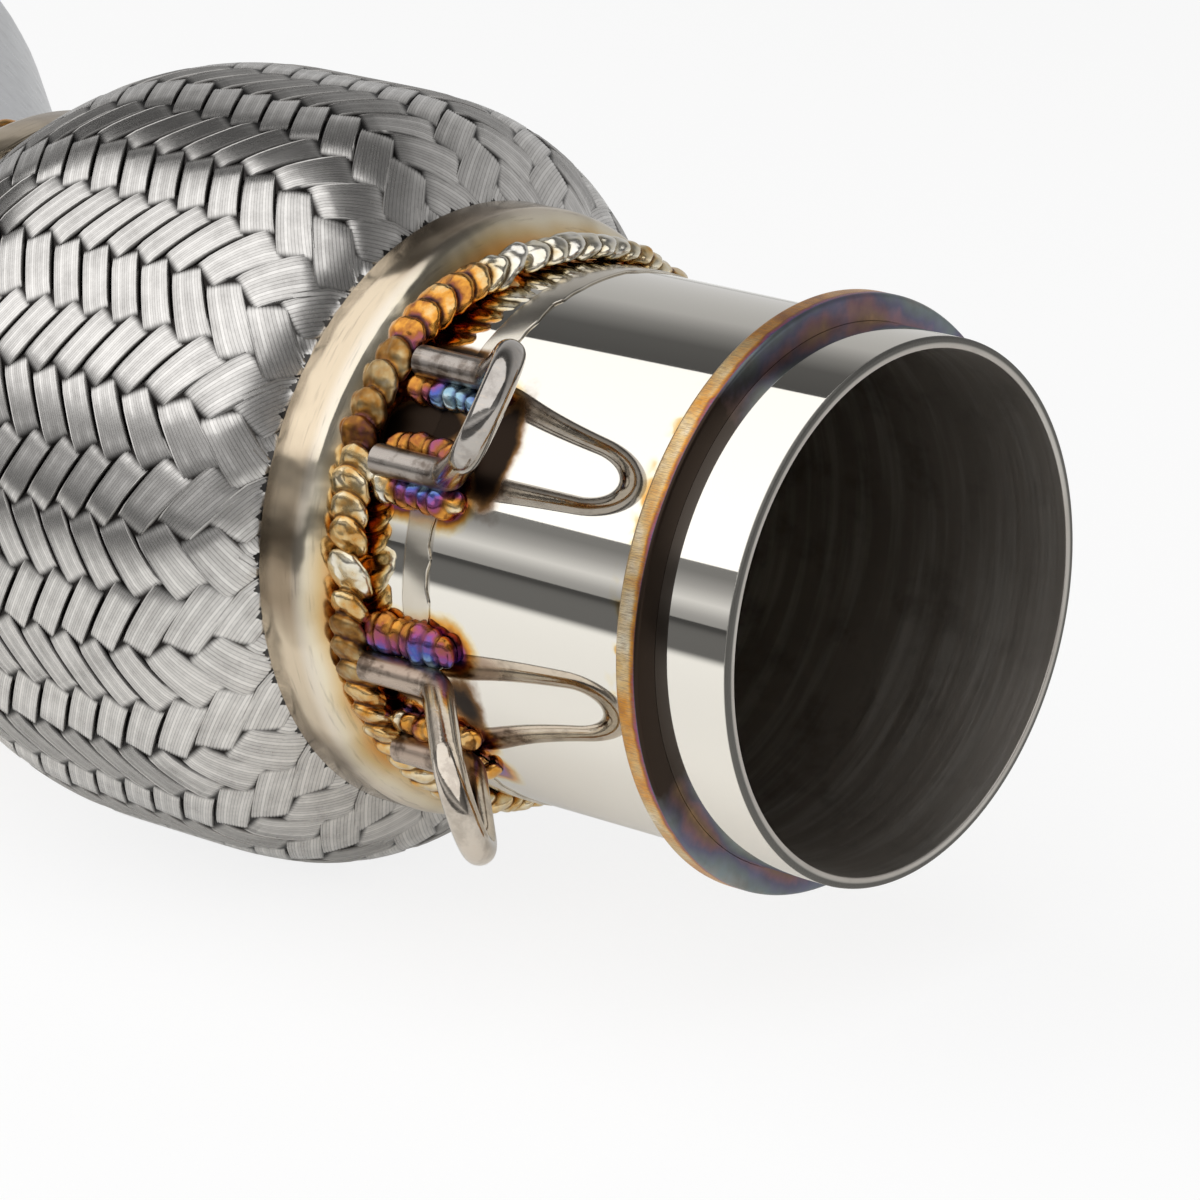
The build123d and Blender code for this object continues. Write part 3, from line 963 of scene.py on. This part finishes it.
@dataclass
class Studio:
    """Plain pale floor, one wide soft lamp overhead and a soft surround.

    The surround is given as levels of light by the angle round the pipe. The camera has a
    place, its own right and the way back from what it looks at.
    """

    camera_place: Point = (470.5, -612.1, 248.5)
    camera_right: Point = (0.759, 0.651, 0.0)
    camera_back: Point = (0.62, -0.723, 0.3045)
    floor_level: float = -57.0
    floor_colour: Colour = (0.82, 0.82, 0.81)
    near_colour: Colour = (0.12, 0.12, 0.12)
    lamp_direction: float = 28.5
    lamp_distance: float = 900.0
    lamp_width: float = 1480.0
    lamp_length: float = 3000.0
    lamp_radiance: float = 1.3
    surround: tuple[Pair, ...] = (
        (-180.0, 0.45),
        (-90.0, 0.69),
        (-48.0, 0.50),
        (-37.0, 0.26),
        (-27.0, 0.115),
        (-12.0, 0.09),
        (67.0, 0.24),
        (72.0, 0.24),
        (77.0, 0.43),
        (83.0, 0.83),
        (88.0, 0.43),
        (94.0, 0.29),
        (101.0, 0.10),
        (110.0, 0.25),
        (180.0, 0.45),
    )

    def floor(self) -> None:
        """Adds the floor, white where the camera looks and grey far out on the near side."""
        plane = Bench.start("floor", bpy.ops.mesh.primitive_plane_add, size=8.0)
        plane.data.transform(Matrix.Translation((0.0, 0.0, self.floor_level * MM)))
        shader = Shader("floor_sweep")
        _, y, _ = shader.split(shader.node("ShaderNodeTexCoord", {}, {}, "Object"))
        camera_ray = shader.node("ShaderNodeLightPath", {}, {}, "Is Camera Ray")
        near = y.step(-0.23, -0.30) * (1 - camera_ray)
        colour = shader.mix(near, self.floor_colour, self.near_colour)
        diffuse = shader.node("ShaderNodeBsdfDiffuse", {}, {"Color": colour})
        glow = shader.node("ShaderNodeEmission", {}, {"Color": colour, "Strength": 0.35})
        lit = shader.node("ShaderNodeAddShader", {}, {0: diffuse, 1: glow})
        bounce = shader.node("ShaderNodeLightPath", {}, {}, "Is Diffuse Ray")
        surface = shader.node("ShaderNodeMixShader", {}, {0: bounce, 1: lit, 2: diffuse})
        thin = shader.node("ShaderNodeBsdfDiffuse", {}, {"Color": (0.16, 0.16, 0.16)})
        white = shader.node("ShaderNodeEmission", {}, {"Color": (0.84, 0.84, 0.84), "Strength": 1.0})
        sweep = shader.node("ShaderNodeAddShader", {}, {0: thin, 1: white})
        surface = shader.node("ShaderNodeMixShader", {}, {0: camera_ray, 1: surface, 2: sweep})
        shader.node("ShaderNodeOutputMaterial", {}, {"Surface": surface})
        plane.data.materials.append(shader.material)

    def lamp(self) -> None:
        """Hangs the soft lamp over the near side of the pipe."""
        area = self.lamp_width * self.lamp_length * MM * MM
        light = bpy.data.lights.new("soft_lamp", "AREA")
        light.shape = "RECTANGLE"
        light.size = self.lamp_length * MM
        light.size_y = self.lamp_width * MM
        light.energy = math.pi * area * self.lamp_radiance
        lamp = bpy.data.objects.new("soft_lamp", light)
        bpy.context.scene.collection.objects.link(lamp)
        turn = math.radians(self.lamp_direction)
        toward = Vector((-0.3, -math.sin(turn), math.cos(turn)))
        lamp.location = toward * self.lamp_distance * MM
        out = Vector((0.0, -math.sin(turn), math.cos(turn)))
        along = Vector((1.0, 0.0, 0.0))
        lamp.matrix_world = Matrix.Translation(lamp.location) @ Matrix(
            (along, out.cross(along), out)
        ).transposed().to_4x4()

    def world(self) -> None:
        """Sets the surround, in bands round the pipe's axis."""
        world = bpy.data.worlds.new("surround")
        bpy.context.scene.world = world
        shader = Shader(world.name, world)
        _, y, z = shader.split(shader.node("ShaderNodeTexCoord", {}, {}, "Generated"))
        angle = (y * -1).math("ARCTAN2", z) * (0.5 / math.pi) + 0.5
        stops = tuple(((turn + 180) / 360, (level,) * 3) for turn, level in self.surround)
        bands = shader.node("ShaderNodeValToRGB", {"stops": stops}, {0: angle})
        camera_ray = shader.node("ShaderNodeLightPath", {}, {}, "Is Camera Ray")
        colour = shader.mix(camera_ray, bands, (0.95, 0.95, 0.95))
        background = shader.node("ShaderNodeBackground", {}, {"Color": colour, "Strength": 1.0})
        shader.node("ShaderNodeOutputWorld", {}, {"Surface": background})

    def camera(self) -> None:
        """Stands the camera where the photograph was taken."""
        made = bpy.data.cameras.new("camera")
        made.lens = 180.0
        made.sensor_width = 36.0
        made.clip_start = 0.01
        view = bpy.data.objects.new("camera", made)
        bpy.context.scene.collection.objects.link(view)
        back = Vector(self.camera_back).normalized()
        right = Vector(self.camera_right).normalized()
        place = Vector(self.camera_place) * MM
        turn = Matrix((right, back.cross(right), back)).transposed()
        view.matrix_world = Matrix.Translation(place) @ turn.to_4x4()
        bpy.context.scene.camera = view

    def build(self) -> None:
        """Sets up the whole studio."""
        self.floor()
        self.lamp()
        self.world()
        self.camera()
        bpy.context.scene.view_settings.view_transform = "Standard"


@dataclass
class FrontEnd:
    """Stub tube, stop ring, neck and both collars, turned smooth."""

    bore: float = 36.45
    seat: float = 38.15
    neck: Pair = (-78.0, -54.9)
    ring: Pair = (-16.1, -12.3)
    ring_radius: float = 41.9
    # Station and radius of each corner of the front collar's section
    front_collar: tuple[Pair, ...] = (
        (COLLAR_REAR, 44.05),
        (COLLAR_REAR, 42.8),
        (-72.0, 42.8),
        (-69.0, 38.15),
        (-67.4, 38.15),
        (-71.4, 44.05),
    )

    @staticmethod
    def band(span: Pair, inner: float, outer: float) -> list[Pair]:
        """Section of a plain ring between two stations and two radii."""
        rear, front = span
        return [(rear, inner), (front, inner), (front, outer), (rear, outer)]

    def build(
        self, tube: bpy.types.Material, ring: bpy.types.Material, collar: bpy.types.Material
    ) -> None:
        """Builds the turned pieces.

        Args:
            tube: The polished tube's material.
            ring: The stop ring's material.
            collar: The collars' material.
        """
        front = rounded(self.front_collar, {5: 2.2, 0: 0.4})
        rear = [(2 * FLEX_MIDDLE - x, radius) for x, radius in front]
        stub = rounded(self.band((BUTT_JOINT, 0.0), self.bore, TUBE_RADIUS), {1: 0.25, 2: 0.45})
        stop = rounded(self.band(self.ring, self.seat, self.ring_radius), {2: 0.6, 3: 0.6})
        turned = (
            ("stub_tube", stub, tube, Slot.POLISHED_TUBE),
            ("neck_tube", self.band(self.neck, self.bore, TUBE_RADIUS), tube, Slot.POLISHED_TUBE),
            ("stop_ring", stop, ring, Slot.TINTED_RING),
            ("front_collar", front, collar, Slot.COLLAR_STEEL),
            ("rear_collar", rear, collar, Slot.COLLAR_STEEL),
        )
        for node, section, material, slot in turned:
            dress(lathe(f"{node}_smooth", section), material, slot, node)


@dataclass(frozen=True)
class Dime:
    """One weld dime.

    Its size is half its length along the row, across it and outwards. Its heat is the
    place of its colour in the row of heat colours, and its soot is between 0 and 1.
    """

    x: float
    angle: float
    radius: float
    size: Point
    heat: float = 0.2
    soot: float = 0.0

    def middle(self) -> Vector:
        """Middle of the dime, in millimetres."""
        turn = math.radians(self.angle)
        return Vector((self.x, -math.sin(turn) * self.radius, math.cos(turn) * self.radius))


def dime_row(first: Dime, last: Dime, count: int, scatter: float = 0.12) -> list[Dime]:
    """Dimes spaced evenly from one to another, each a little different.

    Args:
        first: The dime at the start.
        last: The dime at the end.
        count: How many there are in all.
        scatter: How much they differ.

    Returns:
        The dimes, in order.
    """
    rng = random.Random(1)
    made = []
    for i in range(count):
        share = i / max(count - 1, 1)
        x = first.x + (last.x - first.x) * share + rng.uniform(-1, 1) * scatter * first.size[1]
        angle = first.angle + (last.angle - first.angle) * share
        radius = first.radius + (last.radius - first.radius) * share
        swell = 1 + rng.uniform(-1, 1) * scatter
        size = tuple((a + (b - a) * share) * swell for a, b in zip(first.size, last.size))
        heat = first.heat + (last.heat - first.heat) * share + rng.uniform(-0.5, 0.5) * scatter
        made.append(Dime(x, angle, radius, size, heat))
    return made


@dataclass(frozen=True)
class WeldBead:
    """Weld made of a row of dimes, melted together and laid on the tube.

    Each point of the skin keeps how hot it got and how deep it lies between two dimes.
    Lean is the dimes' tilt in degrees, seat the radius that they lie on and voxel the
    size of the cells that melt them together. Valley is the width of the dark joint
    between two dimes, as a share of a dime.
    """

    name: str
    dimes: tuple[Dime, ...]
    lean: float = 24.0
    seat: float = 38.12
    voxel: float = 0.28
    across_heat: float = 0.0
    rim_heat: float = 0.10
    valley: float = 0.45
    wobble: float = 0.26

    def places(self) -> list[Matrix]:
        """Place, turn and size of each dime, in metres."""
        found = []
        for i, dime in enumerate(self.dimes):
            before = self.dimes[max(i - 1, 0)].middle()
            after = self.dimes[min(i + 1, len(self.dimes) - 1)].middle()
            turn = math.radians(dime.angle)
            out = Vector((0.0, -math.sin(turn), math.cos(turn)))
            along = after - before
            along = (along - out * along.dot(out)).normalized()
            across = out.cross(along)
            tilt = Matrix.Rotation(math.radians(self.lean), 3, across)
            turned = (tilt @ along, across, tilt @ out)
            axes = [axis * size * MM for axis, size in zip(turned, dime.size)]
            found.append(Matrix.Translation(dime.middle() * MM) @ Matrix(axes).transposed().to_4x4())
        return found

    def mark(self, piece: bpy.types.Object, places: Sequence[Matrix]) -> None:
        """Keeps each point's heat and depth on the mesh.

        Args:
            piece: The melted bead.
            places: Place of each dime.
        """
        tree = kdtree.KDTree(len(places))
        for i, place in enumerate(places):
            tree.insert(place.translation, i)
        tree.balance()
        inverse = [place.inverted() for place in places]
        marks = []
        for vertex in piece.data.vertices:
            near = []
            for _, i, _ in tree.find_n(vertex.co, 4):
                local = inverse[i] @ vertex.co
                near.append((local.length, i, local))
            near.sort(key=lambda item: item[0])
            depth = 0.0
            if len(near) > 1:
                depth = 1 - min((near[1][0] - near[0][0]) / self.valley, 1.0)
            weights = [1 / (0.05 + length) ** 5 for length, _, _ in near]
            shares = [weight * self.dimes[i].heat for weight, (_, i, _) in zip(weights, near)]
            heat = sum(shares) / sum(weights)
            _, i, local = near[0]
            heat += local.y * self.across_heat + depth * self.rim_heat
            marks.append((heat, max(depth, self.dimes[i].soot)))
        layer = piece.data.uv_layers.new(name="UVMap")
        for loop in piece.data.loops:
            layer.data[loop.index].uv = marks[loop.vertex_index]

    def build(self) -> bpy.types.Object:
        """Builds the bead as one closed skin.

        Returns:
            The piece.
        """
        first = Bench.start(
            self.name, bpy.ops.mesh.primitive_uv_sphere_add, segments=20, ring_count=12, radius=1.0
        )
        places = self.places()
        dimes = [first]
        for _ in places[1:]:
            copy = first.copy()
            copy.data = first.data.copy()
            bpy.context.scene.collection.objects.link(copy)
            dimes.append(copy)
        for dime, place in zip(dimes, places):
            dime.data.transform(place)
        Bench.hold(*dimes)
        bpy.ops.object.join()
        melt = first.modifiers.new("melt", "REMESH")
        melt.mode = "VOXEL"
        melt.voxel_size = self.voxel * MM
        ease = first.modifiers.new("ease", "SMOOTH")
        ease.factor = 0.5
        ease.iterations = 3
        Bench.apply_modifiers(first)
        for vertex in first.data.vertices:
            radius = math.hypot(vertex.co.y, vertex.co.z)
            if radius < self.seat * MM:
                vertex.co.yz = vertex.co.yz * (self.seat * MM / radius)
        self.mark(first, places)
        normals = [vertex.normal.copy() for vertex in first.data.vertices]
        for vertex, normal in zip(first.data.vertices, normals):
            coarse, fine = (noise.noise(vertex.co * (waves / MM)) for waves in (0.5, 0.9))
            wobble = coarse + 0.3 * fine
            vertex.co += normal * (wobble * self.wobble * MM)
        Bench.hold(first)
        bpy.ops.object.shade_smooth()
        return first


@dataclass(frozen=True)
class FusionWeld:
    """Weld metal coloured by the heat that its mesh keeps, with soot between the dimes."""

    name: str
    drift: float = 0.25
    soot: float = 0.5
    rough: float = 0.14
    burnt: Colour = (0.035, 0.022, 0.014)

    def material(self) -> bpy.types.Material:
        """Builds the material."""
        shader = Shader(self.name)
        heat, depth, _ = shader.kept()
        coarse = shader.noise(0.30, 3.0)
        fine = shader.noise(0.9, 3.0)
        amount = heat + (coarse - 0.5) * self.drift + (fine - 0.5) * (self.drift * 0.5)
        colour = shader.heat(amount.clamp())
        sooted = (depth.step(0.35, 1.0) + (coarse - 0.45) * 2.2 * depth).clamp() * self.soot
        colour = shader.mix(sooted, colour, self.burnt)
        rough = self.rough + fine * 0.14 + sooted * 0.3
        normal = shader.bump(fine, 0.10, 0.3)
        return shader.metal(colour, rough, normal)


@dataclass
class Welds:
    """All weld beads of the joint, with their own heat tints."""

    # Station, angle, half length along the bead, half width and heat of each dime that shows
    shown_dimes: tuple[tuple[float, float, float, float, float], ...] = (
        (-63.2, -26.0, 1.8, 2.6, 0.20),
        (-63.0, -21.5, 1.8, 2.7, 0.14),
        (-62.8, -17.0, 1.8, 2.8, 0.10),
        (-62.8, -12.6, 1.9, 2.9, 0.04),
        (-62.9, -8.0, 1.9, 3.0, 0.03),
        (-63.2, -3.4, 2.0, 3.0, 0.05),
        (-63.3, 1.4, 1.9, 3.1, 0.03),
        (-63.6, 6.0, 1.9, 3.0, 0.08),
        (-64.0, 12.8, 2.9, 2.5, 0.00),
        (-64.6, 17.0, 2.2, 2.7, 0.10),
        (-65.4, 21.4, 2.2, 3.4, 0.30),
        (-66.0, 25.6, 2.2, 3.5, 0.34),
        (-66.6, 30.0, 2.3, 3.4, 0.32),
        (-67.0, 34.4, 2.2, 3.2, 0.36),
        (-67.3, 38.8, 2.1, 3.0, 0.40),
        (-67.2, 44.0, 2.2, 2.8, 0.30),
        (-67.3, 49.6, 2.3, 2.8, 0.26),
        (-67.2, 55.2, 2.2, 2.8, 0.30),
        (-67.2, 60.6, 2.1, 2.7, 0.44),
        (-66.0, 66.2, 2.2, 2.9, 0.18),
        (-66.2, 70.6, 2.2, 3.0, 0.24),
        (-65.8, 75.2, 2.1, 2.8, 0.18),
        (-65.4, 79.8, 2.1, 2.8, 0.26),
        (-64.8, 87.4, 3.1, 3.1, 0.12),
        (-65.0, 94.0, 2.2, 2.8, 0.24),
        (-65.4, 99.0, 2.3, 2.9, 0.28),
        (-65.6, 103.6, 2.2, 2.9, 0.28),
        (-65.4, 108.6, 2.2, 2.9, 0.28),
        (-65.2, 113.6, 2.2, 2.9, 0.26),
        (-65.4, 118.8, 2.3, 2.9, 0.28),
        (-65.0, 124.0, 2.2, 2.9, 0.22),
    )

    # Node, angle, half width, heat gained across and heat of each dime of the hooks' welds
    hook_rows: tuple[tuple[str, float, float, float, tuple[float, ...]], ...] = (
        ("upper_hook_weld_1", 47.4, 2.2, -0.05, (0.36, 0.50, 0.66, 0.90, 0.84, 0.74, 0.62)),
        ("upper_hook_weld_2", 59.4, 2.1, 0.0, (0.44, 0.42, 0.47, 0.43, 0.52, 0.46, 0.44)),
        ("upper_hook_weld_3", 68.6, 2.3, 0.26, (0.12, 0.46, 0.58, 0.66, 0.68, 0.62, 0.36)),
        ("lower_hook_weld_1", 99.2, 3.3, -0.18, (0.66, 0.56, 0.54, 0.60, 0.66, 0.78, 0.50)),
        ("lower_hook_weld_2", 121.6, 2.2, 0.0, (0.10, 0.34, 0.42, 0.36, 0.40, 0.34, 0.32)),
        ("lower_hook_weld_3", 131.4, 2.1, 0.0, (0.20, 0.24, 0.22, 0.30, 0.26, 0.30, 0.26)),
    )
    hook_first_x: float = -61.6
    hook_step: float = 2.05
    hook_seat: float = 38.8
    sooted_angles: tuple[Pair, ...] = ((41.0, 64.0), (96.0, 111.0))
    collar_seat: float = 40.0
    unseen_size: Point = (2.9, 3.1, 1.55)
    rear_collar_x: float = -172.8
    rear_collar_seat: float = 39.8
    band: Pair = (-57.1, -52.5)
    band_seat: float = 38.12
    nodules: int = 120
    ring_x: float = -16.5
    ring_seat: float = 38.5
    ring_size: Point = (1.3, 0.9, 0.9)

    def soot(self, angle: float) -> float:
        """How sooty a dime of the front collar's weld is, by its angle."""
        if any(low < angle < high for low, high in self.sooted_angles):
            return 0.7
        return 0.45 if angle > self.sooted_angles[0][1] else 0.15

    def front_bead(self, metal: bpy.types.Material) -> None:
        """The stacked weld that closes the front collar, placed dime by dime where it shows.

        Args:
            metal: Its material.
        """
        dimes = []
        for x, angle, half, width, heat in self.shown_dimes:
            rise = self.collar_seat + min(max((-63.0 - x) * 0.25, 0.0), 1.0)
            size = (half * 1.55, width * 1.12, 1.35)
            dimes.append(Dime(x, angle, rise, size, heat, self.soot(angle)))
        first = Dime(-65.0, 129.0, self.collar_seat, self.unseen_size, 0.22)
        last = Dime(-63.6, 330.0, self.collar_seat, self.unseen_size, 0.18)
        dimes += dime_row(first, last, 43)
        bead = WeldBead(
            "front_collar_weld_bead", tuple(dimes), 30.0, voxel=0.25, rim_heat=0.16, wobble=0.3
        )
        dress(bead.build(), metal, Slot.FUSION_WELD, "front_collar_weld")

    def rear_bead(self, metal: bpy.types.Material) -> None:
        """The weld that closes the rear collar.

        Args:
            metal: Its material.
        """
        x, seat, size = self.rear_collar_x, self.rear_collar_seat, self.unseen_size
        first, last = (Dime(x, angle, seat, size, 0.26) for angle in (0.0, 355.2))
        bead = WeldBead("rear_collar_weld_bead", tuple(dime_row(first, last, 75)), voxel=0.4)
        dress(bead.build(), metal, Slot.FUSION_WELD, "rear_collar_weld")

    def butt_band(self, tube: bpy.types.Material) -> None:
        """The flat weld between stub and neck, uneven along its edges.

        Args:
            tube: Material of the polished tube, which this weld shares.
        """
        start, end = self.band
        seat = self.band_seat
        section = [(start, seat), (end, seat), (end, seat + 0.30), (start, seat + 0.24)]
        flat = lathe("butt_weld_band", rounded(section, {2: 0.2, 3: 0.14}), 360)
        rng = random.Random(5)
        front = [rng.uniform(-0.45, 0.25) for _ in range(self.nodules)]
        rear = [rng.uniform(-0.2, 0.2) for _ in range(self.nodules)]
        for vertex in flat.data.vertices:
            place = math.atan2(-vertex.co.y, vertex.co.z) / (2 * math.pi) % 1.0 * self.nodules
            i, share = int(place) % self.nodules, place % 1.0
            edge = front if vertex.co.x > BUTT_JOINT * MM else rear
            ease = share * share * (3 - 2 * share)
            vertex.co.x += (edge[i] + (edge[(i + 1) % self.nodules] - edge[i]) * ease) * MM
        dress(flat, tube, Slot.FUSION_WELD, "butt_weld")

    def ring_bead(self) -> None:
        """The thin weld behind the stop ring."""
        x, seat, size = self.ring_x, self.ring_seat, self.ring_size
        first, last = (Dime(x, angle, seat, size, 0.3) for angle in (0.0, 357.5))
        bead = WeldBead("stop_ring_weld_bead", tuple(dime_row(first, last, 140, 0.3)), 15.0, voxel=0.25)
        metal = FusionWeld("ring_weld_metal", 0.5, 0.6).material()
        dress(bead.build(), metal, Slot.FUSION_WELD, "stop_ring_weld")

    def hook_beads(self) -> None:
        """The short welds beside the hooks' legs, each with a smaller last dime."""
        metal = FusionWeld("hook_weld_metal", 0.34, 0.45).material()
        for seed, (node, angle, width, across, heats) in enumerate(self.hook_rows):
            rng = random.Random(seed)
            row = []
            for i, heat in enumerate(heats):
                swell = rng.uniform(0.88, 1.14) * (0.72 if i == len(heats) - 1 else 1.0)
                size = (2.3 * swell, width * swell, 0.62 * width * swell)
                x = self.hook_first_x + self.hook_step * i + rng.uniform(-0.2, 0.2)
                turn = angle + rng.uniform(-0.5, 0.5)
                row.append(Dime(x, turn, self.hook_seat, size, heat, 0.3))
            bead = WeldBead(
                f"{node}_bead", tuple(row), 38.0, voxel=0.2, across_heat=across, rim_heat=-0.08
            )
            dress(bead.build(), metal, Slot.FUSION_WELD, node)

    def build(self, tube: bpy.types.Material) -> None:
        """Builds every bead.

        Args:
            tube: Material of the polished tube.
        """
        metal = FusionWeld("collar_weld_metal", 0.42, 0.85).material()
        self.front_bead(metal)
        self.rear_bead(metal)
        self.butt_band(tube)
        self.ring_bead()
        self.hook_beads()


def main() -> None:
    """Builds the object in order and reports each piece."""
    logging.basicConfig(level=logging.INFO, format="%(message)s")
    Studio().build()
    tube = PolishedTube().material()
    FrontEnd().build(tube, StopRingTint().material(), SpunCollar().material())
    BraidSleeve().build(BraidWire().material(), BraidShade().material())
    Welds().build(tube)
    recoat(HookSteel("upper_hook_rod").material(), "upper_hook")
    copper = HookSteel("lower_hook_rod", (0.38, 0.29, 0.23), (0.56, 0.50, 0.43))
    recoat(copper.material(), "lower_hook")
    inner = TintedSteel("inner_steel", 0.10, 0.16, 0.4).material()
    recoat(inner, "bellows", "liner_hose", "front_end_ring", "rear_end_ring")
    recoat(PipeSteel().material(), "rear_pipe")


if __name__ == "__main__":
    main()
